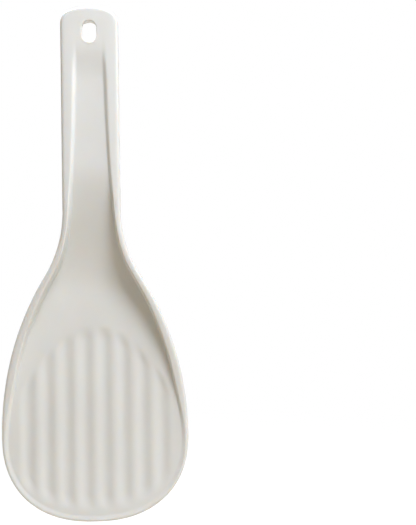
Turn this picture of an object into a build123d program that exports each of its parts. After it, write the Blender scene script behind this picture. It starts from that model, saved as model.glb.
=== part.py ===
from build123d import *
from math import cos, hypot, pi, sin, sqrt
import os

# A rice paddle moulded in one shot of polypropylene. All lengths are in millimetres.
# X runs across the paddle, Y runs from its front to its back, and Z runs up the handle.
# The origin is on the axis of the hanging hole, in the flat front face of the handle.
# "along" is the distance up from the tip of the blade, and "deep" the distance behind
# the handle's front face. The moulding is modelled as zones that meet face to face.

# Outline, seen from the front
overall_length = 210.0
blade_width = 76.8
tip_length = 35.5                 # from the tip up to the widest place of the blade
tip_fullness_share = 2.3          # 2 would make the tip an ellipse, more makes it fuller
flank_radius = 125.0              # the long outward curve of each side of the blade
neck_radius = 50.0                # the inward curve from the blade to the handle
handle_width = 23.2
end_corner_radius = 5.5
end_crown = 0.8                   # how far the handle's end bulges between its corners

# Handle: a channel that is open at the back
handle_depth = 9.0                # front face to the free edges of the side walls
web_thickness = 2.3
side_wall = 3.4
end_wall = 2.6
end_wall_fillet = 6.2             # between the end wall and the web, inside the channel
channel_corner_radius = 2.4
recess_depth = 1.4                # the shallow thumb recess in the front
recess_top = 15.5                 # from the handle's end down to where the recess starts
recess_run_in = 7.0
rim_land_at_end = 4.6             # flat land beside the recess, near the handle's end
rim_land_at_neck = 2.8
recess_slope = 1.8                # width of the slope from the land to the recess floor

# Waves in the free edges of the side walls, for the fingers
wave_length = 17.9
wave_height = 2.5
wave_count = 4
first_crest = 3.2                 # from the handle's end to the first crest

# Hanging hole
hole_width = 5.9
hole_height = 8.8
hole_drop = 10.1                  # from the handle's end to the middle of the hole
eye_height = 17.0                 # height of the flat plate that the hole goes through
collar_width = 1.1                # raised ring round the hole, on the back of the plate
collar_height = 0.6

# Neck: the web dives back to become the floor of the blade. Places here are measured
# from where the handle's straight sides end.
dive_above_neck = 18.6
dive_below_neck = 33.4
rim_bend_above_neck = 0.6         # where the rims leave the handle's front plane
blade_floor_depth = 11.6          # handle's front face to the floor of the blade
tip_curl = 1.0                    # how far the tip turns up towards the front

# Blade: a shallow scoop between two rims that come down from the handle
blade_thickness = 2.0
edge_thickness = 1.6
rim_landing_above_widest = 12.5   # where the rims come down to the blade's floor
lip_height = 0.4                  # what is left of the rim round the tip
rim_land = 2.4                    # rounded top of the rim at the shoulders
rim_slope = 4.0                   # width of the slope inside the rim at the shoulders
rim_softness = 1.2                # how gently the rim line bends at its two ends
back_bevel = 10.0                 # width of the rounded edge on the back of the blade
shoulder_edge_depth = 10.2        # back edge of the blade at the shoulders
shoulder_below_neck = 39.4

# Grooves: the same corrugation in the front and the back
groove_count = 8
groove_pitch = 7.9
groove_depth = 0.75
grooves_below_neck = 46.9         # upper ends of the middle grooves
groove_arch_drop = 27.0           # how much lower the ends of the outermost grooves are
groove_fade = 9.0                 # length over which a groove runs out
groove_margin = 4.0               # from the lower ends to the edge of the blade

# Zones
neck_zone_above_neck = 16.6
neck_zone_below_neck = 21.4
walls_below_neck = 14.4           # where the side walls have run out
rim_zone_width = 7.6              # width of the rim zones beside the blade's floor
rim_zone_below_widest = 5.5

# Fineness of the fitted surfaces, and clearance of cutting solids
across_spans = 66
along_spans = 72
side_spans = 20
tip_spans = 9
wave_spans = 8
overrun = 4.0
front_clearance = 0.8
shallow = 0.001

# Sizes that follow
blade_half = blade_width / 2
handle_half = handle_width / 2
channel_half = handle_half - side_wall
tip_drop = overall_length - hole_drop
full_depth = blade_floor_depth + blade_thickness + groove_depth
curve_reach = flank_radius + neck_radius
curve_sideways = curve_reach - (blade_half - handle_half)
neck_end = tip_length + sqrt(curve_reach**2 - curve_sideways**2)
curve_join = tip_length + (neck_end - tip_length) * flank_radius / curve_reach
dive_top = neck_end + dive_above_neck
dive_bottom = neck_end - dive_below_neck
rim_bend = neck_end + rim_bend_above_neck
rim_landing = tip_length + rim_landing_above_widest
rim_incline_share = (blade_floor_depth - lip_height) / (rim_bend - rim_landing)
shoulder_along = neck_end - shoulder_below_neck
groove_top = neck_end - grooves_below_neck
neck_zone_top = neck_end + neck_zone_above_neck
blade_top = neck_end - neck_zone_below_neck
walls_bottom = neck_end - walls_below_neck
rim_zone_bottom = tip_length - rim_zone_below_widest


def height(along):
    """Z of a place that is given as a distance up from the tip."""
    return along - tip_drop


def from_end(distance):
    """Distance up from the tip of a place that is given as a distance from the handle's end."""
    return overall_length - distance


def ease(value, start, stop):
    """A smooth step: 0 at start, 1 at stop."""
    share = min(1, max(0, (value - start) / (stop - start)))
    return share * share * (3 - 2 * share)


def soft_larger(first, second, softness):
    return (first + second + hypot(first - second, softness)) / 2


def soft_smaller(first, second, softness):
    return (first + second - hypot(first - second, softness)) / 2


def half_width(along):
    """Half the width of the outline, above the rounded tip."""
    if along >= neck_end:
        return handle_half
    if along >= curve_join:
        return handle_half + neck_radius - sqrt(neck_radius**2 - (neck_end - along) ** 2)
    rise = max(0, along - tip_length)
    return blade_half - flank_radius + sqrt(flank_radius**2 - rise**2)


def tip_along(across):
    """Edge of the rounded tip, as a distance up from its lowest point."""
    share = min(1, abs(across) / blade_half)
    return tip_length * (1 - (1 - share**tip_fullness_share) ** (1 / tip_fullness_share))


def inward(across, along):
    """Distance of a point from the outline, measured inwards."""
    if along >= tip_length:
        return half_width(along) - abs(across)
    down = tip_length - along
    reach = hypot(across, down)
    grown = (abs(across) / blade_half) ** tip_fullness_share
    grown = (grown + (down / tip_length) ** tip_fullness_share) ** (1 / tip_fullness_share)
    return reach / grown - reach if grown > shallow else blade_half


def recessed(along):
    """How much of the recess's depth there is: none at the handle's end, 1 further down."""
    return ease(along, from_end(recess_top), from_end(recess_top + recess_run_in))


def floor_deep(along):
    """Depth of the front floor: recess, dive and blade."""
    dive = ease(along, dive_top, dive_bottom)
    curl = tip_curl * max(0, 1 - along / tip_length) ** 2
    return recess_depth * recessed(along) + (blade_floor_depth - recess_depth) * dive - curl


def rim_deep(along):
    """Depth of the rim line, which comes down from the handle to the edge of the blade."""
    line = soft_larger(-front_clearance, rim_incline_share * (rim_bend - along), rim_softness)
    return soft_smaller(line, floor_deep(along) - lip_height, rim_softness)


def groove(across, along):
    """Depth of the corrugation at a point of the blade."""
    field_half = groove_count * groove_pitch / 2
    if abs(across) >= field_half:
        return 0
    upper = groove_top - groove_arch_drop * (across / field_half) ** 2
    lower = tip_along(across) + groove_margin
    fade = ease(along, upper, upper - groove_fade) * ease(along, lower, lower + groove_fade)
    return groove_depth * fade * (1 - cos(2 * pi * (across / groove_pitch + groove_count / 2))) / 2


def front_deep(across, along):
    """Depth of the front surface, in front of the handle's face where nothing is cut away."""
    narrowing = ease(along, from_end(recess_top), dive_bottom)
    land = rim_land_at_end + (rim_land_at_neck - rim_land_at_end) * narrowing
    land += (rim_land - rim_land_at_neck) * ease(along, neck_end, shoulder_along)
    slope = recess_slope + (rim_slope - recess_slope) * ease(along, neck_end, shoulder_along)
    side = ease(inward(across, along), land + slope, land)
    floor = floor_deep(along) - front_clearance * (1 - recessed(along))
    return floor - (floor - rim_deep(along)) * side + groove(across, along)


def back_edge_deep(along):
    """Depth of the back edge of the outline below the handle."""
    shoulder = (shoulder_edge_depth - handle_depth) * ease(along, neck_end, shoulder_along)
    lower = blade_floor_depth - lip_height + edge_thickness - shoulder_edge_depth
    curl = tip_curl * max(0, 1 - along / tip_length) ** 2
    return handle_depth + shoulder + lower * ease(along, shoulder_along, tip_length) - curl


def back_deep(across, along):
    """Depth of the back surface of web, neck and blade."""
    thinning = ease(along, dive_top, dive_bottom)
    thickness = web_thickness + (blade_thickness - web_thickness) * thinning
    back = floor_deep(along) + thickness
    drop = soft_larger(0, back - back_edge_deep(along), rim_softness) - rim_softness / 2
    outside = max(0, 1 - max(inward(across, along), -overrun) / back_bevel) ** 2
    return back - max(0, drop) * outside + groove(across, along)


def spread(start, stop, spans):
    """Even places from start to stop, a number of equal spans apart."""
    return [start + (stop - start) * place / spans for place in range(spans + 1)]


def relief(deep_at):
    """A smooth surface through the depths that a rule gives, as a loft of even curves."""
    across_places = spread(-blade_half - overrun, blade_half + overrun, across_spans)
    along_places = spread(-overrun, overall_length + overrun, along_spans)
    shares = spread(0, 1, across_spans)
    curves = []
    for along in along_places:
        points = [Vector(across, deep_at(across, along), height(along)) for across in across_places]
        curves.append(Wire([Edge.make_spline(points, parameters=shares)]))
    return Shell.make_loft(curves).faces()[0]


def space_in_front(surface):
    """All the space in front of a surface, further than the paddle reaches."""
    return Solid.extrude(surface, Vector(0, -2 * full_depth, 0))


def space_behind(surface):
    """All the space behind a surface, further than the paddle reaches."""
    return space_in_front(Pos(0, 2 * full_depth, 0) * surface)


def tip_points():
    """The right half of the rounded tip, from its lowest point to the widest place."""
    turns = [pi / 2 * place / tip_spans for place in range(tip_spans)]
    power_share = 2 / tip_fullness_share
    return [
        (blade_half * sin(turn) ** power_share, tip_length * (1 - cos(turn) ** power_share))
        for turn in turns
    ]


def side_points(bottom, top, narrower=0):
    """The right side of the outline between two places, drawn in by a band."""
    return [(half_width(along) - narrower, along) for along in spread(bottom, top, side_spans)]


def in_front_plane(points, side=1):
    """Points given as distances across and along, on the right side (1) or the left (-1)."""
    return [Vector(side * across, 0, height(along)) for across, along in points]


def end_edges():
    """The handle's end: two rounded corners and the crown between them."""
    side_end = from_end(end_corner_radius + end_crown)
    centre = handle_half - end_corner_radius
    reach = end_corner_radius * sqrt(1 / 2)
    corner = [
        (handle_half, side_end),
        (centre + reach, side_end + reach),
        (centre, side_end + end_corner_radius),
    ]
    right = in_front_plane(corner)
    left = in_front_plane(corner, -1)
    crown = in_front_plane([(0, overall_length)])[0]
    return [
        Edge.make_three_point_arc(*right),
        Edge.make_three_point_arc(right[-1], crown, left[-1]),
        Edge.make_three_point_arc(*reversed(left)),
    ]


def outline_face():
    """The whole outline, seen from the front."""
    points = tip_points() + side_points(tip_length, neck_end)
    right = in_front_plane(points)
    left = in_front_plane(points, -1)
    up = Vector(0, 0, 1)
    sideways = Vector(1, 0, 0)
    end = end_edges()
    edges = [
        Edge.make_spline(right, tangents=[sideways, up]),
        Edge.make_line(right[-1], end[0] @ 0),
        *end,
        Edge.make_line(end[-1] @ 1, left[-1]),
        Edge.make_spline(left, tangents=[-sideways, up]),
    ]
    return Face(Wire(edges))


def channel_face():
    """The channel between the side walls, which opens into the neck."""
    inner = side_points(walls_bottom - overrun, neck_end, side_wall)
    right = in_front_plane(inner)
    left = in_front_plane(inner, -1)
    top = from_end(end_wall)
    side_top = top - channel_corner_radius
    corners = in_front_plane([(channel_half, side_top), (channel_half - channel_corner_radius, top)])
    mirrored = in_front_plane([(channel_half, side_top), (channel_half - channel_corner_radius, top)], -1)
    up = Vector(0, 0, 1)
    edges = [
        Edge.make_spline(right),
        Edge.make_line(right[-1], corners[0]),
        Edge.make_tangent_arc(corners[0], up, corners[1]),
        Edge.make_line(corners[1], mirrored[1]),
        Edge.make_tangent_arc(mirrored[0], up, mirrored[1]),
        Edge.make_line(mirrored[0], left[-1]),
        Edge.make_spline(left),
        Edge.make_line(left[0], right[0]),
    ]
    return Face(Wire(edges))


def hole_face(wider=0):
    """The long hanging hole, widened all round by a band."""
    slot = SlotOverall(hole_height + 2 * wider, hole_width + 2 * wider, rotation=90)
    return (Plane.XZ * slot).face()


def slab(face, front, back):
    """A solid through the paddle, from a face drawn in the front plane."""
    return Pos(0, front, 0) * Solid.extrude(face, Vector(0, back - front, 0))


def block(half_across, front, back, bottom, top):
    """A block that is centred across the paddle."""
    size = Box(2 * half_across, back - front, top - bottom)
    return Pos(0, (front + back) / 2, (bottom + top) / 2) * size


def zone(solid, bottom, top):
    """What a solid holds between two places along the paddle."""
    return solid & block(blade_width, -full_depth, 2 * full_depth, height(bottom), height(top))


def free_edge_cutter():
    """Everything behind the free edges of the walls, with the waves for the fingers."""
    wave_end = first_crest + wave_count * wave_length
    places = spread(first_crest, wave_end, wave_count * wave_spans)
    waved = []
    for distance in places:
        turn = 2 * pi * (distance - first_crest) / wave_length
        deep = handle_depth - wave_height * (1 - cos(turn)) / 2
        waved.append(Vector(0, deep, height(from_end(distance))))
    down = Vector(0, 0, -1)
    behind = handle_depth + full_depth
    above = height(overall_length + overrun)
    below = height(walls_bottom - overrun)
    outer = [
        waved[-1],
        Vector(0, handle_depth, below),
        Vector(0, behind, below),
        Vector(0, behind, above),
        Vector(0, handle_depth, above),
        waved[0],
    ]
    lines = [Edge.make_line(start, stop) for start, stop in zip(outer, outer[1:])]
    profile = Face(Wire([Edge.make_spline(waved, tangents=[down, down]), *lines]))
    return Pos(-blade_half, 0, 0) * Solid.extrude(profile, Vector(blade_width, 0, 0))


def end_fillet():
    """The large hollow curve between the end wall and the web."""
    top = height(from_end(end_wall))
    foot = web_thickness
    size = end_wall_fillet
    filled = block(channel_half, foot - recess_depth, foot + size, top - size, top + end_wall / 2)
    hollow = Pos(0, foot + size, top - size) * Rot(0, 90, 0) * Cylinder(size, blade_width)
    return filled - hollow


def write(name, solid):
    """One zone of the moulding in its own file."""
    solids = solid.solids()
    assert len(solids) == 1, (name, len(solids))
    export_step(solids[0], "parts/" + name + ".step")
    print(name, round(solids[0].volume), "mm3")


os.makedirs("parts", exist_ok=True)

# The space in front of the front surface, and on either side of the back surface
back_surface = relief(back_deep)
front_space = space_in_front(relief(front_deep))
inner_space = space_in_front(back_surface)
back_space = space_behind(back_surface)

outline = outline_face()
top = overall_length + overrun
bottom = -overrun


def shell(low, high):
    """The shell between the two surfaces, from one place along the paddle to another."""
    return zone(slab(outline, 0, full_depth + overrun), low, high) - front_space - back_space


# The walls stand on the back of the shell, round the channel
raised = zone(slab(outline, 0, handle_depth + wave_height), walls_bottom, top)
raised = raised - slab(channel_face(), -overrun, full_depth + overrun) - free_edge_cutter()
walls = raised - inner_space

# The eye: a flat plate round the hanging hole, with a raised collar on its back
hole = slab(hole_face(), -overrun, full_depth + overrun)
end_zone = from_end(end_wall + end_wall_fillet)
end_solid = zone(walls, end_zone, top) + (end_fillet() - inner_space) - hole
collar = slab(hole_face(collar_width), web_thickness / 2, web_thickness + collar_height)
eye = shell(from_end(eye_height), top) + (collar - end_solid) - hole

# The rims of the blade, beside its grooved floor
blade = shell(bottom, blade_top)
floor_points = in_front_plane(side_points(rim_zone_bottom, blade_top, rim_zone_width))
rim_corners = in_front_plane([(blade_width, blade_top), (blade_width, rim_zone_bottom)])
rim_edges = [
    Edge.make_spline(floor_points),
    Edge.make_line(floor_points[-1], rim_corners[0]),
    Edge.make_line(rim_corners[0], rim_corners[1]),
    Edge.make_line(rim_corners[1], floor_points[0]),
]
rim_keep = slab(Face(Wire(rim_edges)), -overrun, full_depth + overrun)
rim_keep_left = mirror(rim_keep, about=Plane.YZ)
right_half = Pos(blade_half, 0, 0) * Box(blade_width, 2 * overall_length, 2 * overall_length)
side_walls = zone(walls, walls_bottom, end_zone)

write("hanging_eye", eye)
write("end_wall", end_solid)
write("handle_web", shell(neck_zone_top, from_end(eye_height)))
write("side_wall_right", side_walls & right_half)
write("side_wall_left", side_walls - right_half)
write("neck", shell(blade_top, neck_zone_top))
write("blade_rim_right", blade & rim_keep)
write("blade_rim_left", blade & rim_keep_left)
write("blade_floor", blade - rim_keep - rim_keep_left)
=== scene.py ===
# %% [markdown]
# A rice paddle is one piece of plastic: it is moulded in one shot from milky polypropylene.
# The imported solids give its exact size and place, as zones with crisp edges. The scene shows
# one smooth skin in their place, with the rounded edges that a real mould leaves. This first
# cell loads the solids.

# %% Load the imported frame
import math

import bpy
import numpy as np
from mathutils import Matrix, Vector


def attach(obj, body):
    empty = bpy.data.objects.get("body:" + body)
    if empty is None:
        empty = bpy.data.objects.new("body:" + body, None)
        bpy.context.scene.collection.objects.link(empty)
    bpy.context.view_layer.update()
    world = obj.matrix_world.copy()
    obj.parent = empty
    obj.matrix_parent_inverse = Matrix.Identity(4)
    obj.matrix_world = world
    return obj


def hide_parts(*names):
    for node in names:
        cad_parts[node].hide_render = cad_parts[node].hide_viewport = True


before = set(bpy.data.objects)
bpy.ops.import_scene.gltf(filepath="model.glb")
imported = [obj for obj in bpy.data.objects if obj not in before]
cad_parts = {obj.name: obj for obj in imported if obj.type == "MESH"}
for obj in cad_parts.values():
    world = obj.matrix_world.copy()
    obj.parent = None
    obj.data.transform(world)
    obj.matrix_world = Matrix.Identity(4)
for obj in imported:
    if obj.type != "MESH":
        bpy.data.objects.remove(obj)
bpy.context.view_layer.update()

# %% [markdown]
# All lengths are in millimetres until the mesh is made. "along" is the distance up from the
# tip of the blade, and "deep" is the distance behind the flat front face of the handle.
# The outline is a full rounded tip, a long outward curve on each side, an inward curve at
# the neck and a straight handle with rounded corners. It could be a Bezier curve drawn by
# hand. It is worked out from radii instead, as a mould maker does: the curves then meet
# without a kink, and the rims and walls can follow the same numbers.

# %% Sizes of the outline
MM = 0.001
overall_length = 210.0
blade_half = 38.4
tip_length = 35.5                  # from the tip up to the widest place
tip_fullness = 2.3                 # 2 would make the tip an ellipse, more makes it fuller
flank_radius = 125.0
neck_radius = 50.0
handle_half = 11.6
end_corner_radius = 5.5
end_crown = 0.8                    # how far the handle's end bulges between its corners
top_clearance = 0.003              # keeps the skin just inside the CAD's box
hole_drop = 10.1
tip_drop = overall_length - hole_drop
curve_reach = flank_radius + neck_radius
neck_end = tip_length + math.sqrt(curve_reach**2 - (curve_reach - blade_half + handle_half) ** 2)
curve_join = tip_length + (neck_end - tip_length) * flank_radius / curve_reach
corner_x = handle_half - end_corner_radius
crown_radius = (corner_x**2 + end_crown**2) / (2 * end_crown)
crown_middle = overall_length - top_clearance - crown_radius
corner_z = crown_middle + math.sqrt((crown_radius - end_corner_radius) ** 2 - corner_x**2)
corner_turn = math.degrees(math.acos(corner_x / (crown_radius - end_corner_radius)))
print("the neck ends", round(neck_end, 2), "mm above the tip")

# %% Sizes of the handle
handle_depth = 9.0
web_thickness = 2.3
side_wall = 3.4
end_wall = 2.6
end_slope_top = 2.9                # the end wall's inner slope, from the handle's end
end_slope_foot = 7.6
end_slope_step = 0.2               # the slope ends this far below the walls' free edge
recess_depth = 1.4                 # the shallow hollow for the thumb
recess_top = 9.5
recess_run_in = 20.0
recess_slope = 2.6
rim_land_at_end = 4.0              # flat land beside the recess
rim_land_at_neck = 2.0
print("channel", round(2 * (handle_half - side_wall), 2), "mm wide inside its walls")

# %% Sizes of the neck and the blade
dive_top = neck_end + 18.6         # between these two heights the web dives to the blade
dive_bottom = neck_end - 33.4
rim_bend = neck_end + 0.6          # where the rims leave the handle's front face
rim_landing = tip_length + 12.5    # where they come down to the blade's floor
narrowest_land = neck_end - 4      # where the land beside the recess is narrowest
shoulder_along = neck_end - 39.4
tip_narrowing = rim_landing + 14, tip_length - 8          # between these the rims get narrower
blade_floor_depth = 11.6
blade_thickness = 2.0
edge_thickness = 1.6               # of the tip's edge, before soft bends add a little to it
shoulder_edge_depth = 10.2
tip_curl = 1.4
lip_height = 0.12                  # what is left of the rim round the tip
rim_land = 3.2
rim_slope = 1.2
tip_land = 0.8                     # what is left of its width beside the tip
tip_slope = 2.0
rim_softness = 1.2
landing_softness = 2.6             # the rim meets the blade in a long soft curve
front_softness = 0.5
front_clearance = 0.8              # the rules reach this far past the face, then made flat
crown_depth = 0.25                 # the handle's front falls away towards its side edges
crown_reach = 5.0
crown_fade = 30.0                  # length of the neck over which that fall runs out
back_bevel = 10.0
rim_incline = (blade_floor_depth - lip_height) / (rim_bend - rim_landing)
print("from neck to blade the rim drops", round(rim_incline, 3), "mm for each mm")

# %% [markdown]
# The relief of a moulding has hollows and rims, and no hard corner between them. It could be
# sculpted, or cut out of a block. Here it is a set of rules for depth, each a smooth step or
# the softened larger or smaller of two lines, because every size stays a number that can be
# changed. Written with arrays, one call gives the depths of thousands of points.

# %% Smooth steps and softened corners
def ease(value, start, stop):
    """A smooth step: 0 at start, 1 at stop."""
    share = np.clip((value - start) / (stop - start), 0, 1)
    return share * share * (3 - 2 * share)


def soft_larger(first, second, softness):
    """The larger of two values, with a soft bend where they cross."""
    return (first + second + np.hypot(first - second, softness)) / 2


def soft_smaller(first, second, softness):
    """The smaller of two values, with a soft bend where they cross."""
    return (first + second - np.hypot(first - second, softness)) / 2


print("a smooth step at a quarter of its way:", ease(0.25, 0, 1))


# %% Rules for the outline
def half_width(along):
    """Half the width of the outline, above the rounded tip."""
    rise = np.clip(along - tip_length, 0, flank_radius)
    flank = blade_half - flank_radius + np.sqrt(flank_radius**2 - rise**2)
    drop = np.clip(neck_end - along, 0, neck_radius)
    waist = handle_half + neck_radius - np.sqrt(neck_radius**2 - drop**2)
    return np.where(along >= curve_join, waist, flank)


def inward(across, along, tiny=0.001):
    """Distance of a point from the outline's sides and tip, measured inwards."""
    down = np.maximum(tip_length - along, 0)
    grown = (np.abs(across) / blade_half) ** tip_fullness + (down / tip_length) ** tip_fullness
    grown = np.maximum(grown ** (1 / tip_fullness), tiny)
    reach = np.hypot(across, down)
    at_tip = np.where(grown > tiny, reach / grown - reach, blade_half)
    return np.where(along >= tip_length, half_width(along) - np.abs(across), at_tip)


print("half widths at neck and blade:", half_width(np.array([neck_end, tip_length])))

# %% [markdown]
# The front. Round the hole the handle is flat. Below it lies a shallow hollow for the thumb,
# between two narrow lands. At the neck the web dives back to become the blade's floor, and
# beside it the two rims come down in a straight line and land softly above the tip. Floor
# and rims could be separate meshes, joined by hand. One rule for the floor and one for the
# rim are enough: blended by the distance from the edge, they also give the walls between.

# %% Rules for the front's floor and rim line
def from_end(distance):
    """Distance up from the tip of a place that is given from the handle's end."""
    return overall_length - distance


def curl(along):
    """How far the tip turns up towards the front."""
    return tip_curl * np.maximum(0, 1 - along / tip_length) ** 2


def recessed(along):
    """0 where the handle's front is flat, 1 where the recess has its full depth."""
    return ease(along, from_end(recess_top), from_end(recess_top + recess_run_in))


def floor_deep(along):
    """Depth of the front floor: the recess, the dive at the neck and the blade."""
    dive = ease(along, dive_top, dive_bottom)
    return recess_depth * recessed(along) + (blade_floor_depth - recess_depth) * dive - curl(along)


def rim_deep(along):
    """Depth of the rim line, which comes down from the handle to the blade."""
    line = soft_larger(-front_clearance, rim_incline * (rim_bend - along), rim_softness)
    landing = ease(along, neck_end, shoulder_along)
    softness = rim_softness + (landing_softness - rim_softness) * landing
    return soft_smaller(line, floor_deep(along) - lip_height, softness)


neck_depths = floor_deep(neck_end), rim_deep(neck_end)
print("floor and rim at the neck:", *np.round(neck_depths, 2), "mm deep")


# %% Rules for the whole front
def rim_bands(along):
    """Width of the land on top of the rim, and of the slope inside it."""
    start = from_end(recess_top)
    narrowing = np.clip((start - along) / (start - narrowest_land), 0, 1) ** 2
    to_shoulder = ease(along, narrowest_land, shoulder_along)
    to_tip = ease(along, *tip_narrowing)
    land = rim_land_at_end + (rim_land_at_neck - rim_land_at_end) * narrowing
    land = land + (rim_land - rim_land_at_neck) * to_shoulder + (tip_land - rim_land) * to_tip
    slope = recess_slope + (rim_slope - recess_slope) * narrowing
    return land, slope + (tip_slope - rim_slope) * to_tip


def front_deep(across, along):
    """Depth of the front without its grooves, never in front of the handle's face."""
    land, slope = rim_bands(along)
    side = ease(inward(across, along), land + slope, land)
    floor = floor_deep(along) - front_clearance * (1 - recessed(along))
    deep = floor - (floor - rim_deep(along)) * side
    flat = soft_larger(0, -front_clearance, front_softness)
    fall = np.clip(1 - inward(across, along) / crown_reach, 0, 1) ** 2
    fall = crown_depth * fall * ease(along, neck_end - crown_fade, neck_end)
    return np.maximum(soft_larger(0, deep, front_softness) - flat, 0) + fall


print("land and slope of the rim at the neck:", *np.round(rim_bands(neck_end), 2), "mm wide")

# %% [markdown]
# The back. A moulding has nearly the same thickness everywhere, because thick places sink in
# as they cool. The back could be modelled by itself, but its thickness would then need a
# check at each place. So it is the front's floor, moved by the thickness of the web. Towards
# the side edges it bends forward to the rims, and at the handle's end it climbs a slope to
# the end wall.

# %% Rules for the back
def back_edge_deep(along):
    """Depth of the back edge of the outline below the handle."""
    shoulder = (shoulder_edge_depth - handle_depth) * ease(along, neck_end, shoulder_along)
    lower = blade_floor_depth - lip_height + edge_thickness - shoulder_edge_depth
    return handle_depth + shoulder + lower * ease(along, shoulder_along, tip_length) - curl(along)


def back_deep(across, along):
    """Depth of the back of web, neck and blade, with the slope that rises to the end wall."""
    thinning = ease(along, dive_top, dive_bottom)
    back = floor_deep(along) + web_thickness + (blade_thickness - web_thickness) * thinning
    drop = soft_larger(0, back - back_edge_deep(along), rim_softness) - rim_softness / 2
    outside = np.clip(1 - inward(across, along) / back_bevel, 0, None) ** 2
    back = back - np.maximum(0, drop) * outside
    climb = np.clip((along - from_end(end_slope_foot)) / (end_slope_foot - end_slope_top), 0, 1)
    end_slope = (climb + ease(along, from_end(end_slope_foot), from_end(end_slope_top))) / 2
    return back + (handle_depth - end_slope_step - back) * end_slope


print("the back of the neck is", np.round(back_deep(0.0, neck_end), 2), "mm deep")

# %% [markdown]
# The skin is one grid. Rings follow the outline inwards, so that they can carry the rounded
# edges and the walls, and a core of rows and columns fills the middle. A plain grid cut by
# the outline would leave ragged edges, and a remesh would blur them. Both sheets, front and
# back, use the same plan of points. The outline's points are given for the right half, from
# the lowest point of the tip to the middle of the handle's end, and then mirrored.

# %% Helpers for the plan
def tip_points(turns):
    """Points on the right half of the rounded tip."""
    power = 2 / tip_fullness
    rise = tip_length * (1 - np.cos(turns) ** power)
    return np.stack([blade_half * np.sin(turns) ** power, rise], axis=1)


def spaced(points, count, weights=None):
    """The same line with evenly spaced points, closer together where the weights are larger."""
    steps = np.hypot(*np.diff(points, axis=0).T)
    if weights is not None:
        steps = steps * (weights[1:] + weights[:-1]) / 2
    passed = np.concatenate([[0], np.cumsum(steps)])
    places = np.linspace(0, passed[-1], count)
    return np.stack([np.interp(places, passed, points[:, axis]) for axis in (0, 1)], axis=1)


def arc_points(centre, radius, start, stop):
    """Points on an arc, from one angle to another in degrees."""
    turns = np.radians(np.linspace(start, stop, 60))
    return np.array(centre) + radius * np.stack([np.cos(turns), np.sin(turns)], axis=1)


print("the tip reaches", tip_points(np.array([math.pi / 2]))[0], "mm across and along")

# %% Plan of the outline
columns = 96                       # across the core, even
rows = 232                         # along the core
tip_corner = math.radians(50)      # where the core's lower corners sit on the tip
crowding = 0.8                     # how much closer the rows stand beside the hanging hole
crowded = 180, 195                 # heights between which they draw closer
heights = np.linspace(tip_length, corner_z, 3000)
corner = (corner_x, corner_z), end_corner_radius
side_line = np.concatenate([
    tip_points(np.linspace(tip_corner, math.pi / 2, 400))[:-1],
    np.stack([half_width(heights), heights], axis=1)[:-1],
    arc_points(*corner, 0, 45),
])
side = spaced(side_line, rows + 1, 1 + crowding * ease(side_line[:, 1], *crowded))
end_line = np.concatenate([
    arc_points(*corner, 45, corner_turn)[:-1],
    arc_points((0, crown_middle), crown_radius, corner_turn, 90),
])
end = spaced(end_line, columns // 2 + 1)
tip = tip_points(np.linspace(0, tip_corner, columns // 2 + 1))
right_half = np.concatenate([tip, side[1:], end[1:]])
left_half = right_half[-2:0:-1] * [-1, 1]
outline = np.roll(np.concatenate([right_half, left_half]), columns // 2, axis=0)
around = len(outline)
print("points round the outline:", around)

# %% Directions inwards, and the thickness of the walls
end_zone = 190                     # above this height a point can belong to the end wall
wall_thinning = 1.4                # the walls get thinner as they run out in the neck
wall_run_out = 18
facing_end = 0.3, 0.9              # from which slant on the outline faces the handle's end
ahead, behind = np.roll(outline, -1, axis=0) - outline, outline - np.roll(outline, 1, axis=0)
far_ahead, far_behind = np.hypot(*ahead.T)[:, None], np.hypot(*behind.T)[:, None]
step = ahead * far_behind / far_ahead + behind * far_ahead / far_behind
inwards = np.stack([-step[:, 1], step[:, 0]], axis=1) / np.hypot(*step.T)[:, None]
on_end = ease(np.abs(inwards[:, 1]), *facing_end) * (outline[:, 1] > end_zone)
wall = side_wall + (end_wall - side_wall) * on_end
wall = wall - wall_thinning * ease(outline[:, 1], neck_end, neck_end - wall_run_out)
inner_face = outline + inwards * wall[:, None]
print("walls from", wall.min().round(2), "to", wall.max().round(2), "mm thick")

# %% Edge of the core
core_inset = 7.0
core_top = from_end(3.8)
core_arch = 1.8                    # the core's upper edge is an arch over the hole
straight_above = 165               # above this height the core's sides are straight
spread_above = 170                 # and from here its rows spread to reach the upper edge
core_edge = outline + inwards * core_inset
order = np.arange(around)
on_right = (order > columns) & (order < columns + rows)
on_left = order > 2 * columns + rows
near_end = outline[:, 1] > straight_above
shift = (core_top - core_arch - side[-1, 1]) * ease(outline[:, 1], spread_above, side[-1, 1])
for chosen, sign in ((on_right & near_end, 1), (on_left & near_end, -1)):
    core_edge[chosen, 0] = sign * (handle_half - core_inset)
    core_edge[chosen, 1] = (outline[:, 1] + shift)[chosen]
top_places = np.arange(columns + rows, 2 * columns + rows + 1)
sideways = np.linspace(1, -1, columns + 1)
core_edge[top_places, 0] = sideways * (handle_half - core_inset)
core_edge[top_places, 1] = core_top - core_arch * sideways**2
print("the core ends", round(overall_length - core_top, 2), "mm below the handle's end")

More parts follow.
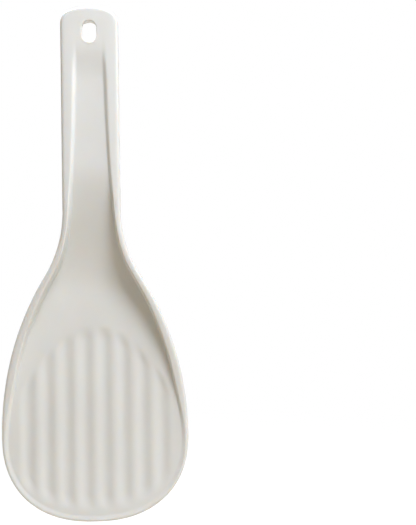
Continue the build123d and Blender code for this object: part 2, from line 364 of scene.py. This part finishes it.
# %% Fill the core between its four sides
low_part, high_part = 0.3, 0.06    # shares of its height that bend to the lower and upper edge
bottom = core_edge[: columns + 1]
right = core_edge[columns : columns + rows + 1]
top = core_edge[top_places][::-1]
left = np.concatenate([core_edge[[0]], core_edge[: 2 * columns + rows - 1 : -1]])
u = np.linspace(0, 1, columns + 1)[None, :, None]
v = np.linspace(0, 1, rows + 1)[:, None, None]
low = np.clip(1 - v / low_part, 0, 1) ** 2
high = np.clip(1 - (1 - v) / high_part, 0, 1) ** 2
core = (1 - u) * left[:, None] + u * right[:, None]
core = core + low * (bottom - (1 - u[0]) * bottom[0] - u[0] * bottom[-1])[None]
core = core + high * (top - (1 - u[0]) * top[0] - u[0] * top[-1])[None]
print("core of", rows, "rows and", columns, "columns")

# %% [markdown]
# The hanging hole is a slot with round ends. A boolean would cut it with long thin faces, so
# it gets rings of its own: a box of cells is left out of the core, and rings run from the
# edge of that box to the edge of the hole. The round lips stay smooth that way.

# %% Plan of the hole
hole_half = 2.95
hole_straight = 1.45               # half the length of the hole's straight sides
box_margin = 3                     # columns that stay on each side of the box
box_foot = 192.6                   # height of the lower edge of the box
box_left, box_right = box_margin, columns - box_margin
box_bottom = int(np.argmin(np.abs(core[:, 0, 1] - box_foot)))
box_top = rows - 1
box_wide, box_tall = box_right - box_left, box_top - box_bottom
box_loop = np.array(
    [(box_bottom, place) for place in range(box_left, box_right)]
    + [(place, box_right) for place in range(box_bottom, box_top)]
    + [(box_top, place) for place in range(box_right, box_left, -1)]
    + [(place, box_left) for place in range(box_top, box_bottom, -1)]
)
box_edge = core[box_loop[:, 0], box_loop[:, 1]]
half_turn = np.radians(np.linspace(0, 180, box_wide + 1))[:-1]
round_end = hole_half * np.stack([np.cos(half_turn), np.sin(half_turn)], axis=1)
climb = np.linspace(-hole_straight, hole_straight, box_tall + 1)[:-1]
lower = -round_end - [0, hole_straight]
rising = np.stack([np.full(box_tall, hole_half), climb], axis=1)
hole_centre = np.array([0, tip_drop])
hole_loop = np.concatenate([lower, rising, -lower, -rising]) + hole_centre
flat_part = np.clip(hole_loop[:, 1] - tip_drop, -hole_straight, hole_straight)
outwards = hole_loop - hole_centre - np.stack([np.zeros(len(hole_loop)), flat_part], axis=1)
outwards = outwards / np.hypot(*outwards.T)[:, None]
print("points round the hole:", len(hole_loop))

# %% [markdown]
# A mesh can be made face by face, or all at once from lists. Lists are much faster here: each
# ring is added as a row of points, and a band of four-sided faces joins it to the ring before
# it. A number travels with every point, which tells how much it belongs to the free edges of
# the walls, so that the waves can be pressed into them later.

# %% Collect points and bands
all_points, all_waves, all_faces = [], [], []


def add_points(plan, deep, wave=0):
    """Adds points by their plan and depth, and returns their numbers in the mesh."""
    shape = plan.shape[:-1]
    deep = np.broadcast_to(deep, shape)
    placed = np.stack([plan[..., 0], deep, plan[..., 1] - tip_drop], axis=-1)
    first = sum(len(points) for points in all_points)
    all_points.append(placed.reshape(-1, 3))
    all_waves.append(np.broadcast_to(wave, shape).reshape(-1))
    return np.arange(first, first + len(all_points[-1])).reshape(shape)


def add_band(outer, inner):
    """Joins two closed rings. Faces look to the front when outer runs anticlockwise there."""
    after_outer, after_inner = np.roll(outer, -1), np.roll(inner, -1)
    all_faces.append(np.stack([outer, after_outer, after_inner, inner], axis=1))


def add_core(deep_at, facing_front):
    """Adds the core without the box round the hole, and returns its point numbers."""
    numbers = add_points(core, deep_at(core[..., 0], core[..., 1]))
    below, above = numbers[:-1], numbers[1:]
    quads = np.stack([below[:, :-1], below[:, 1:], above[:, 1:], above[:, :-1]], axis=-1)
    keep = np.ones(quads.shape[:2], dtype=bool)
    keep[box_bottom:box_top, box_left:box_right] = False
    quads = quads[keep]
    all_faces.append(quads if facing_front else quads[:, ::-1])
    return numbers


def core_ring(numbers):
    """The outer ring of the core, in the order of the outline."""
    return np.concatenate([
        numbers[0, :-1], numbers[:-1, -1], numbers[-1, :0:-1], numbers[:0:-1, 0],
    ])


front_numbers = add_core(front_deep, True)
print("core of the front:", front_numbers.size, "points")

# %% [markdown]
# Edges. No moulded edge is sharp. A Bevel modifier would need sharp edges to work on, and
# would clash with the thin tip, so the rounding is made of rings. On the handle the outside
# edges have a radius of 1 to 1.3 mm. At the tip the edge is only about 2 mm thick, so the
# rounding shrinks with the thickness there.

# %% Rounded edges of the outline
walls_full = neck_end - 4          # the free edges keep their full height down to here
walls_gone = neck_end - 20
walls_soft = neck_end + 10         # from here down they melt softly into the shell
radius_front, radius_back = 1.3, 1.0
round_share = 0.46                 # the most of the thickness that one rounding may take


def free_edge(plan):
    """Depth of the walls' free edge. In the neck the walls run out softly into the shell."""
    shell = back_deep(plan[:, 0], plan[:, 1])
    softness = 1 - ease(outline[:, 1], neck_end, walls_soft)
    standing = soft_larger(0, handle_depth - shell, softness)
    return shell + standing * ease(outline[:, 1], walls_gone, walls_full)


edge_front = front_deep(outline[:, 0], outline[:, 1])
edge_back = free_edge(outline)
thick = edge_back - edge_front
round_front = np.minimum(radius_front, round_share * thick)
round_back = np.minimum(radius_back, round_share * thick)
quarter = np.radians(np.linspace(0, 90, 6))
print("edge thickness from", thick.min().round(2), "to", thick.max().round(2), "mm")

# %% [markdown]
# The front sheet. Its rings start at the core, cross the slope and the land of the rim, and
# bend over the rounded edge. A Subdivision modifier would add points everywhere. Here more
# rings lie only where the surface bends more.

# %% Front sheet, from the core over the rim to the edge
def inset_plan(inset):
    """The ring at a distance inside the outline: along its normals to the walls' inner face,
    and from there straight towards the edge of the core."""
    beyond = np.clip((inset - wall) / (core_inset - wall), 0, 1)[:, None]
    near = outline + inwards * np.minimum(inset, wall)[:, None]
    return near * (1 - beyond) + core_edge * beyond


beyond_foot = 1.06                 # a ring lies just beyond the foot of the rim's slope
before_top = 0.96                  # and one just before its top
least_gap = 0.2                    # but never nearer than this to the rounded edge
land, slope = rim_bands(outline[:, 1])
slope_foot = beyond_foot * (land + slope)
slope_top = np.maximum(before_top * land, round_front + least_gap)
insets = [
    start + (stop - start) * share
    for start, stop, shares in (
        (core_inset, slope_foot, np.arange(1, 6) / 5),
        (slope_foot, slope_top, np.arange(1, 10) / 9),
        (slope_top, round_front, np.arange(1, 4) / 4),
    )
    for share in shares
]
rings = [core_ring(front_numbers)]
for inset in insets:
    plan = inset_plan(inset)
    rings.append(add_points(plan, front_deep(plan[:, 0], plan[:, 1])))
for turn in quarter[::-1]:
    plan = outline + inwards * (round_front * (1 - math.cos(turn)))[:, None]
    deep = front_deep(plan[:, 0], plan[:, 1]) + round_front * (1 - math.sin(turn))
    rings.append(add_points(plan, deep))
print("front sheet:", len(rings), "rings")

# %% Side face
walled = outline[:, 1] > neck_end
side_front = edge_front + round_front
side_back = edge_back - round_back
for share in (0.25, 0.5, 0.75):
    rings.append(add_points(outline, side_front + (side_back - side_front) * share, walled * share))
print("side face up to", (side_back - side_front).max().round(2), "mm high between its edges")

# %% [markdown]
# The handle is a channel, open at the back. Its side walls and its end wall stiffen the thin
# web, as the bent rim of a tray does, with little plastic. A Solidify modifier could give
# walls a thickness, but not a soft end in the neck. So they are rings too: over the free
# edge, down the inner face, which leans a little so that the mould can leave it, and round
# the foot into the web.

# %% Back sheet, from the outer edge over the free edges of the walls
round_inner = 0.7                  # radius of the walls' inner edge
for turn in quarter:
    plan = outline + inwards * (round_back * (1 - math.cos(turn)))[:, None]
    rings.append(add_points(plan, free_edge(plan) - round_back * (1 - math.sin(turn)), walled))
for share in (0.35, 0.7, 1):
    inset = round_back + (wall - round_inner - round_back) * share
    plan = outline + inwards * inset[:, None]
    rings.append(add_points(plan, free_edge(plan), walled))
print("free edges:", len(rings), "rings so far")

# %% Room at the foot of the walls
fillet_radius = 1.2
fillet_share = 0.45                # the most of a wall's height that one rounding may take
draft_of_wall = 0.25               # how far a wall leans from top to foot
draft_of_step = 0.9                # and how far a low step in the neck does
tall_wall = 3.0                    # from this height on it leans as a wall
end_corners = 195, 203             # near the handle's end there is less room for the foot
draft_share, draft_share_at_end, foot_share = 0.25, 0.12, 0.4      # of the room
foot = back_deep(inner_face[:, 0], inner_face[:, 1])
rise = np.maximum(free_edge(inner_face) - foot, 0)
tall = ease(rise, 0, tall_wall)
inner_round = np.minimum(round_inner, fillet_share * rise)
foot_round = np.minimum(fillet_radius, fillet_share * rise)
room = np.hypot(*(core_edge - inner_face).T)
narrower = ease(outline[:, 1], *end_corners)
draft = draft_of_wall * tall + draft_of_step * (1 - tall)
draft_room = (draft_share + (draft_share_at_end - draft_share) * narrower) * room
draft = np.minimum(draft, draft_room)
foot_width = np.minimum(fillet_radius * (1 - narrower / 2), foot_share * room)
print("the walls rise up to", rise.max().round(2), "mm over the web")

# %% Back sheet, down the inner face of the walls to the web
part_turns = np.radians([22, 45, 68, 90])
for turn in part_turns:
    plan = outline + inwards * (wall - round_inner * (1 - math.sin(turn)))[:, None]
    rings.append(add_points(plan, free_edge(plan) - inner_round * (1 - math.cos(turn)), walled))
upper_end, lower_end = rise - inner_round, foot_round
for share in (0.25, 0.5, 0.75, 1):
    plan = inner_face + inwards * (draft * share)[:, None]
    deep = back_deep(plan[:, 0], plan[:, 1]) + upper_end * (1 - share) + lower_end * share
    rings.append(add_points(plan, deep, walled * (1 - share)))
for turn in part_turns:
    plan = inner_face + inwards * (draft + foot_width * (1 - math.cos(turn)))[:, None]
    deep = back_deep(plan[:, 0], plan[:, 1]) + foot_round * (1 - math.sin(turn))
    rings.append(add_points(plan, deep))
foot_plan = plan
for share in (0.25, 0.5, 0.75):
    plan = foot_plan + (core_edge - foot_plan) * share
    rings.append(add_points(plan, back_deep(plan[:, 0], plan[:, 1])))
back_numbers = add_core(back_deep, False)
rings.append(core_ring(back_numbers))
for first, second in zip(rings, rings[1:]):
    add_band(second, first)
print("all rings:", len(rings))

# %% [markdown]
# The hole's rings run from the box in the core to a rounded lip in front, through the hole,
# and over a low collar behind it. The collar is a ring of plastic that keeps a hook from
# wearing the web through. Its edge is drawn with closely spaced rings, so it looks crisp.

# %% Sizes of the hole's lips and collar
collar_height = 0.6
collar_width = 1.1
collar_slope = 0.3, 0.05           # how far its outer slope reaches in and out from there
lip_front, lip_back = 0.3, 0.45    # radii
lip_margin = 0.1                   # flat ring in front, beside the lip
collar_offsets = (0.62, 0.8, 0.88, 0.95, 1.02, 1.1, 1.18)


def hole_plan(offset):
    """The hole's outline, made wider."""
    return hole_loop + outwards * offset


def relaxed(offset, share):
    """Between a ring near the hole and the edge of the box in the core."""
    return hole_plan(offset) * (1 - share) + box_edge * share


def hole_back(plan, offset):
    """Depth of the back round the hole, with its collar."""
    past_collar = ease(offset, collar_width - collar_slope[0], collar_width + collar_slope[1])
    collar = web_thickness + collar_height * (1 - past_collar)
    return np.maximum(back_deep(plan[:, 0], plan[:, 1]), collar)


rim = hole_back(hole_loop, 0)
print("the hole is", rim.min().round(2), "to", rim.max().round(2), "mm deep")

# %% Rings of the hole
hole_rings = [front_numbers[box_loop[:, 0], box_loop[:, 1]]]
for share in (0.66, 0.33, 0):
    plan = relaxed(lip_front + lip_margin, share)
    hole_rings.append(add_points(plan, front_deep(plan[:, 0], plan[:, 1])))
for turn in quarter[::-1]:
    plan = hole_plan(lip_front * (1 - math.cos(turn)))
    hole_rings.append(add_points(plan, lip_front * (1 - math.sin(turn))))
for share in (0.33, 0.66):
    deep = lip_front + (rim - lip_back - lip_front) * share
    hole_rings.append(add_points(hole_loop, deep))
for turn in quarter:
    plan = hole_plan(lip_back * (1 - math.cos(turn)))
    hole_rings.append(add_points(plan, hole_back(plan, 0) - lip_back * (1 - math.sin(turn))))
for offset in collar_offsets:
    plan = hole_plan(offset)
    hole_rings.append(add_points(plan, hole_back(plan, offset)))
for share in (0.33, 0.66):
    plan = relaxed(collar_offsets[-1], share)
    hole_rings.append(add_points(plan, hole_back(plan, collar_offsets[-1])))
hole_rings.append(back_numbers[box_loop[:, 0], box_loop[:, 1]])
for first, second in zip(hole_rings, hole_rings[1:]):
    add_band(first, second)
print("rings of the hole:", len(hole_rings))

# %% [markdown]
# The lists become one mesh. No face uses the points of the core inside the box round the
# hole, so those are left out first: a loose point has no surface, but would still be carried
# along. The share of each point in the waves goes in as an attribute of the mesh.

# %% Make the plain skin
points = np.concatenate(all_points) * MM
faces = np.concatenate(all_faces)
used = np.unique(faces)
renumber = np.full(len(points), -1)
renumber[used] = np.arange(len(used))
skin = bpy.data.meshes.new("paddle_moulding")
skin.from_pydata(points[used].tolist(), [], renumber[faces].tolist())
waves = skin.attributes.new("wave_share", "FLOAT", "POINT")
waves.data.foreach_set("value", np.concatenate(all_waves)[used].astype(np.float32))
skin.update()
moulding = bpy.data.objects.new("paddle_moulding", skin)
bpy.context.scene.collection.objects.link(moulding)
print("plain skin:", len(skin.vertices), "points,", len(skin.polygons), "faces")

# %% [markdown]
# The grooves in the blade keep rice from sticking, and the waves in the free edges of the
# walls fit the fingers. Each groove could be modelled by hand. But both repeat by a rule, so
# Geometry Nodes press them into the plain skin: a size can be changed in the modifier, and
# nothing has to be modelled again. The rule is a table of sums, in the order in which they
# are worked out.

# %% Helper for node trees
def node(tree, kind, inputs=None, **settings):
    """Adds a node with its settings, and sets or links its inputs. Returns the node."""
    made = tree.nodes.new(kind)
    for name, value in settings.items():
        setattr(made, name, value)
    for place, value in (inputs or {}).items():
        if isinstance(value, bpy.types.NodeSocket):
            tree.links.new(value, made.inputs[place])
        else:
            made.inputs[place].default_value = value
    return made


# %% Inputs of the press
press_sizes = {
    "Groove count": 8,
    "Groove pitch": 7.9,
    "Groove depth": 0.75,
    "Groove top": neck_end - 46.9,
    "Arch drop": 27.0,
    "Groove fade": 6.5,
    "Groove margin": 4.0,
    "Wave length": 17.9,
    "Wave height": 2.5,
    "Wave count": 4,
    "First crest": 3.2,
}
press = bpy.data.node_groups.new("press_grooves_and_waves", "GeometryNodeTree")
press.interface.new_socket("Geometry", in_out="INPUT", socket_type="NodeSocketGeometry")
for name in press_sizes:
    press.interface.new_socket(name, in_out="INPUT", socket_type="NodeSocketFloat")
press.interface.new_socket("Material", in_out="INPUT", socket_type="NodeSocketMaterial")
press.interface.new_socket("Geometry", in_out="OUTPUT", socket_type="NodeSocketGeometry")
given = node(press, "NodeGroupInput")
position = node(press, "GeometryNodeInputPosition").outputs[0]
place = node(press, "ShaderNodeSeparateXYZ", {0: position})
share = node(press, "GeometryNodeInputNamedAttribute", {"Name": "wave_share"}, data_type="FLOAT")
wires = {name: given.outputs[name] for name in press_sizes}
wires["x"], wires["z"] = place.outputs["X"], place.outputs["Z"]
wires["share"] = share.outputs["Attribute"]
print("the press has", len(press_sizes), "sizes to set")


# %% The rule of the grooves
def work_out(rule):
    """Adds a node for each line of a rule: the result's name, the sum, and what goes in."""
    for name, operation, *values in rule:
        inputs = {slot: wires.get(value, value) for slot, value in enumerate(values)}
        wires[name] = node(press, "ShaderNodeMath", inputs, operation=operation).outputs[0]


full_turn = 2 * math.pi
work_out([
    ("across", "MULTIPLY", "x", 1 / MM),
    ("up", "MULTIPLY", "z", 1 / MM),
    ("along", "ADD", "up", tip_drop),
    ("side", "ABSOLUTE", "across"),
    ("field", "MULTIPLY", "Groove count", "Groove pitch"),
    ("half field", "MULTIPLY", "field", 0.5),
    ("inside", "LESS_THAN", "side", "half field"),
    ("outness", "DIVIDE", "side", "half field"),
    ("arch", "MULTIPLY", "outness", "outness"),
    ("arched", "MULTIPLY", "arch", "Arch drop"),
    ("upper", "SUBTRACT", "Groove top", "arched"),
    ("upper faded", "SUBTRACT", "upper", "Groove fade"),
    ("tip share", "DIVIDE", "side", blade_half),
    ("tip grown", "POWER", "tip share", tip_fullness),
    ("tip rest", "SUBTRACT", 1, "tip grown"),
    ("tip height", "POWER", "tip rest", 1 / tip_fullness),
    ("tip drop", "SUBTRACT", 1, "tip height"),
    ("tip edge", "MULTIPLY", "tip drop", tip_length),
    ("lower", "ADD", "tip edge", "Groove margin"),
    ("lower faded", "ADD", "lower", "Groove fade"),
    ("pitches", "DIVIDE", "across", "Groove pitch"),
    ("half count", "MULTIPLY", "Groove count", 0.5),
    ("phase", "ADD", "pitches", "half count"),
    ("angle", "MULTIPLY", "phase", full_turn),
    ("cosine", "COSINE", "angle"),
    ("swell", "SUBTRACT", 1, "cosine"),
    ("half swell", "MULTIPLY", "swell", 0.5),
    ("groove", "MULTIPLY", "half swell", "Groove depth"),
])
for end_name in ("upper", "lower"):
    reach = {"From Min": wires[end_name], "From Max": wires[end_name + " faded"]}
    fade = node(
        press,
        "ShaderNodeMapRange",
        {"Value": wires["along"], **reach},
        interpolation_type="SMOOTHSTEP",
    )
    wires[end_name + " fade"] = fade.outputs[0]
work_out([
    ("faded", "MULTIPLY", "groove", "upper fade"),
    ("faded both", "MULTIPLY", "faded", "lower fade"),
    ("groove pressed", "MULTIPLY", "faded both", "inside"),
])
print("nodes for the grooves:", len(press.nodes))

# %% The rule of the waves, and the end of the tree
work_out([
    ("distance", "SUBTRACT", overall_length, "along"),
    ("past crest", "SUBTRACT", "distance", "First crest"),
    ("started", "GREATER_THAN", "past crest", 0),
    ("wave field", "MULTIPLY", "Wave length", "Wave count"),
    ("not over", "LESS_THAN", "past crest", "wave field"),
    ("wave turns", "DIVIDE", "past crest", "Wave length"),
    ("wave angle", "MULTIPLY", "wave turns", full_turn),
    ("wave cosine", "COSINE", "wave angle"),
    ("wave swell", "SUBTRACT", 1, "wave cosine"),
    ("half wave", "MULTIPLY", "wave swell", 0.5),
    ("wave", "MULTIPLY", "half wave", "Wave height"),
    ("wave begun", "MULTIPLY", "wave", "started"),
    ("wave kept", "MULTIPLY", "wave begun", "not over"),
    ("wave pressed", "MULTIPLY", "wave kept", "share"),
    ("moved", "SUBTRACT", "groove pressed", "wave pressed"),
    ("moved metres", "MULTIPLY", "moved", MM),
])
geometry, coat = given.outputs["Geometry"], given.outputs["Material"]
offset = node(press, "ShaderNodeCombineXYZ", {"Y": wires["moved metres"]}).outputs[0]
pressed = node(press, "GeometryNodeSetPosition", {"Geometry": geometry, "Offset": offset})
realized = node(press, "GeometryNodeRealizeInstances", {0: pressed.outputs[0]}).outputs[0]
coated = node(press, "GeometryNodeSetMaterial", {"Geometry": realized, "Material": coat})
node(press, "NodeGroupOutput", {0: coated.outputs[0]})
print("press with", len(press.nodes), "nodes")

# %% [markdown]
# Moulded polypropylene. The plastic itself is clear and colourless, and its fine crystals
# scatter the light. The eye sees a milky, slightly warm white, with soft shadows, because
# some light comes out beside the place where it went in. A plain white surface would look
# like chalk, so the shader scatters the light below the surface, over about a millimetre.
# The mould leaves a satin gloss, and the plastic cools a little unevenly, so that gloss and
# milkiness vary slightly from place to place. The index of refraction is that of
# polypropylene, 1.49.

# %% Material: moulded milky polypropylene
def linear(code):
    """A colour written as sRGB hex, as the linear values that a shader takes."""
    parts = [int(code[place : place + 2], 16) / 255 for place in (0, 2, 4)]
    bright = [((part + 0.055) / 1.055) ** 2.4 for part in parts]
    return [part / 12.92 if part <= 0.04045 else value for part, value in zip(parts, bright)] + [1]


cloud_size = 16.7                  # mm, over which the plastic's milkiness varies
grain_size = 0.56                  # mm, the fine texture of the mould, drawn coarser than it is
grain_depth = 0.1                  # mm, of which only a small part is used as bump
scatter_length = 0.7               # mm, how far red light travels inside; green and blue less
satin_range = 0.3, 0.36            # roughness, from the glossier to the duller places
plastic = bpy.data.materials.new("moulded_milky_polypropylene")
plastic.use_nodes = True
tree = plastic.node_tree
tree.nodes.clear()
where = node(tree, "ShaderNodeTexCoord").outputs["Object"]
cloud_inputs = {"Vector": where, "Scale": 1 / (cloud_size * MM), "Detail": 3}
grain_inputs = {"Vector": where, "Scale": 1 / (grain_size * MM), "Detail": 2}
clouds = node(tree, "ShaderNodeTexNoise", cloud_inputs).outputs["Fac"]
grain = node(tree, "ShaderNodeTexNoise", grain_inputs).outputs["Fac"]
colour = node(tree, "ShaderNodeMix", {"Factor": clouds}, data_type="RGBA")
colour.inputs["A"].default_value = linear("CFCDC3")
colour.inputs["B"].default_value = linear("D5D3C9")
satin_inputs = {"Value": clouds, "To Min": satin_range[0], "To Max": satin_range[1]}
satin = node(tree, "ShaderNodeMapRange", satin_inputs)
bump_inputs = {"Height": grain, "Strength": 0.05, "Distance": grain_depth * MM}
bump = node(tree, "ShaderNodeBump", bump_inputs)
shader = node(tree, "ShaderNodeBsdfPrincipled", {
    "Base Color": colour.outputs["Result"],
    "Roughness": satin.outputs[0],
    "Normal": bump.outputs[0],
    "IOR": 1.49,
    "Subsurface Weight": 1,
    "Subsurface Scale": scatter_length * MM,
})
shader.inputs["Subsurface Radius"].default_value = (1.0, 0.75, 0.55)
node(tree, "ShaderNodeOutputMaterial", {"Surface": shader.outputs[0]})
print("material", plastic.name, "with", len(tree.nodes), "nodes")

# %% [markdown]
# The modifier could stay live, but then it might be lost or done twice in an export. So its
# result is copied to a plain mesh, and the modifier goes. The skin rides on the one body of
# the frame and stands for all its solids, because the real moulding shows no line between
# its zones.

# %% Press the skin and turn the result into a plain mesh
modifier = moulding.modifiers.new("press", "NODES")
modifier.node_group = press
for item in press.interface.items_tree:
    if item.in_out == "INPUT" and item.name in press_sizes:
        modifier[item.identifier] = float(press_sizes[item.name])
    elif item.in_out == "INPUT" and item.name == "Material":
        modifier[item.identifier] = plastic
evaluated = moulding.evaluated_get(bpy.context.evaluated_depsgraph_get())
solid_skin = bpy.data.meshes.new_from_object(evaluated)
moulding.modifiers.clear()
moulding.data = solid_skin
for face in solid_skin.polygons:
    face.use_smooth = True
solid_skin.attributes.remove(solid_skin.attributes["wave_share"])
solid_skin.name = "paddle_moulding"
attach(moulding, "root")
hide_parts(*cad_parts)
coats = [material.name for material in solid_skin.materials]
print("pressed skin:", len(solid_skin.polygons), "faces, materials", coats)

# %% [markdown]
# The paddle hangs by its hole over a pale floor, which catches its shadow. A camera sees real
# white paper as light grey, so towards the horizon the floor turns into an even white: Light
# Path tells the rays that the camera sees from those that only carry light. What the floor
# sends back on to the paddle is a little darker and warmer than paper, as from a table that
# the paper covers only in part. With white paper all round, the shaded places look flat.

# %% Floor
def seen_directly(tree, path):
    """1 where the camera looks, also by way of a gloss or through a clear thing, and else 0."""
    seen = path.outputs["Is Camera Ray"]
    for ray in ("Is Glossy Ray", "Is Transmission Ray"):
        rays = {0: seen, 1: path.outputs[ray]}
        seen = node(tree, "ShaderNodeMath", rays, operation="MAXIMUM").outputs[0]
    return seen


floor_height, floor_reach = -0.26, 4.0
signs = ((-1, -1), (1, -1), (1, 1), (-1, 1))
corners = [(x * floor_reach, y * floor_reach, floor_height) for x, y in signs]
floor_mesh = bpy.data.meshes.new("floor")
floor_mesh.from_pydata(corners, [], [(0, 1, 2, 3)])
floor = bpy.data.objects.new("floor", floor_mesh)
bpy.context.scene.collection.objects.link(floor)
print("floor", round(-floor_height - tip_drop * MM, 3), "m below the paddle's tip")

# %% Material: matt white paper
paper = bpy.data.materials.new("matt_white_paper")
paper.use_nodes = True
tree = paper.node_tree
tree.nodes.clear()
path = node(tree, "ShaderNodeLightPath")
bounced = path.outputs["Is Diffuse Ray"]
sent_back = node(tree, "ShaderNodeMix", {"Factor": bounced}, data_type="RGBA")
sent_back.inputs["A"].default_value = linear("F4F0E6")
sent_back.inputs["B"].default_value = linear("D4C9B8")
matt = node(tree, "ShaderNodeBsdfDiffuse", {"Color": sent_back.outputs["Result"]}).outputs[0]
white = node(tree, "ShaderNodeEmission", {"Strength": 1.0}).outputs[0]
middle = node(tree, "ShaderNodeTexCoord").outputs["Object"]
away = node(tree, "ShaderNodeVectorMath", {0: middle}, operation="LENGTH").outputs["Value"]
paler = node(tree, "ShaderNodeMapRange", {
    "Value": away, "From Min": 0.1, "From Max": 0.7, "To Min": 0.6, "To Max": 1.0,
}, interpolation_type="SMOOTHSTEP")
shares = {0: seen_directly(tree, path), 1: paler.outputs[0]}
held = node(tree, "ShaderNodeMath", shares, operation="MULTIPLY").outputs[0]
mixed = node(tree, "ShaderNodeMixShader", {0: held, 1: matt, 2: white})
node(tree, "ShaderNodeOutputMaterial", {"Surface": mixed.outputs[0]})
floor_mesh.materials.append(paper)
print("material", paper.name, "with", len(tree.nodes), "nodes")

# %% [markdown]
# A light tent is white cloth round a product: it gives a faint light from all sides. The
# world does that here, in a warm colour. A picture of a room could light the paddle too, but
# its windows would show in the gloss. Rays that the camera sees directly meet plain white
# instead, so that the background is white.

# %% World: a light tent
fill_level = 0.13
world = bpy.data.worlds.new("light_tent")
bpy.context.scene.world = world
world.use_nodes = True
tree = world.node_tree
tree.nodes.clear()
seen = seen_directly(tree, node(tree, "ShaderNodeLightPath"))
tent_inputs = {"Color": linear("FFE2B4"), "Strength": fill_level}
tent = node(tree, "ShaderNodeBackground", tent_inputs).outputs[0]
backdrop_inputs = {"Color": linear("FFFFFF"), "Strength": 1.0}
backdrop = node(tree, "ShaderNodeBackground", backdrop_inputs).outputs[0]
mixed = node(tree, "ShaderNodeMixShader", {0: seen, 1: tent, 2: backdrop})
node(tree, "ShaderNodeOutputWorld", {"Surface": mixed.outputs[0]})
print("warm fill at", fill_level, "of full white")

# %% [markdown]
# Three soft boxes light the paddle. The key stands high on the right, in front, and draws the
# shadows inside the right rim and in the grooves. A weak one at the side brightens the right
# edges. One behind does for the back what the key does for the front. A sun lamp would give
# harder shadows than a studio does, so all three are areas of 0.3 or 0.4 m. They are slightly
# blue and the fill is warm: flat places, which get both, look white, and shadows look warm.

# %% Lamps
lamp_aim = Vector((0, 0, -0.08))


def lamp(name, place, size, watts, colour):
    """A square soft box that looks at the paddle's neck."""
    light = bpy.data.lights.new(name, "AREA")
    light.size = size
    light.energy = watts
    light.color = linear(colour)[:3]
    made = bpy.data.objects.new(name, light)
    bpy.context.scene.collection.objects.link(made)
    made.location = place
    made.rotation_euler = (lamp_aim - Vector(place)).to_track_quat("-Z", "Y").to_euler()
    print(name, "of", watts, "W,", round((lamp_aim - Vector(place)).length, 2), "m away")


lamp("key", (0.3, -0.48, 0.619), 0.4, 13.5, "E4ECFF")
lamp("side", (0.669, -0.118, 0.237), 0.3, 1.6, "EEF5FF")
lamp("back_key", (-0.3, 0.48, 0.619), 0.4, 13.0, "E4ECFF")

# %% [markdown]
# The camera stands in front of the handle's face, a little to the right of the paddle. It
# could be placed by eye. Here the size of one pixel at the handle's face gives the lens, and
# the paddle's place in the picture gives the height and the turn: the paddle stands in the
# left part of the picture, so the camera looks past it to the right. The blade lies a little
# further away than the handle, so an orthographic camera would draw it too large.

# %% Camera
picture_width, picture_height = 416, 525
paddle_column = 91.5               # of the picture, where the paddle's middle line is
top_row = 5.5                      # of the picture, where the handle's end is
pixel = 0.000403                   # metres at the handle's face
camera_distance = 0.371
camera_side = 0.025
roll = math.radians(0.7)           # how far the picture leans
sensor = 36
off_middle = (picture_width / 2 - paddle_column) * pixel
below_top = (picture_height / 2 - top_row) * pixel
yaw = math.atan(camera_side / camera_distance) - math.atan(off_middle / camera_distance)
camera_data = bpy.data.cameras.new("camera")
camera_data.sensor_width = sensor
camera_data.lens = sensor * camera_distance * math.cos(yaw) / (picture_height * pixel)
camera_data.clip_start = 0.01
camera = bpy.data.objects.new("camera", camera_data)
camera.location = (camera_side, -camera_distance, hole_drop * MM - below_top)
camera.rotation_euler = (math.radians(90), roll, yaw)
bpy.context.scene.collection.objects.link(camera)
bpy.context.scene.camera = camera
print("lens", round(camera_data.lens, 1), "mm, turned", round(math.degrees(yaw), 2), "degrees")

# %% [markdown]
# The Standard view shows each colour as it is written.

# %% Colour settings
bpy.context.scene.view_settings.view_transform = "Standard"
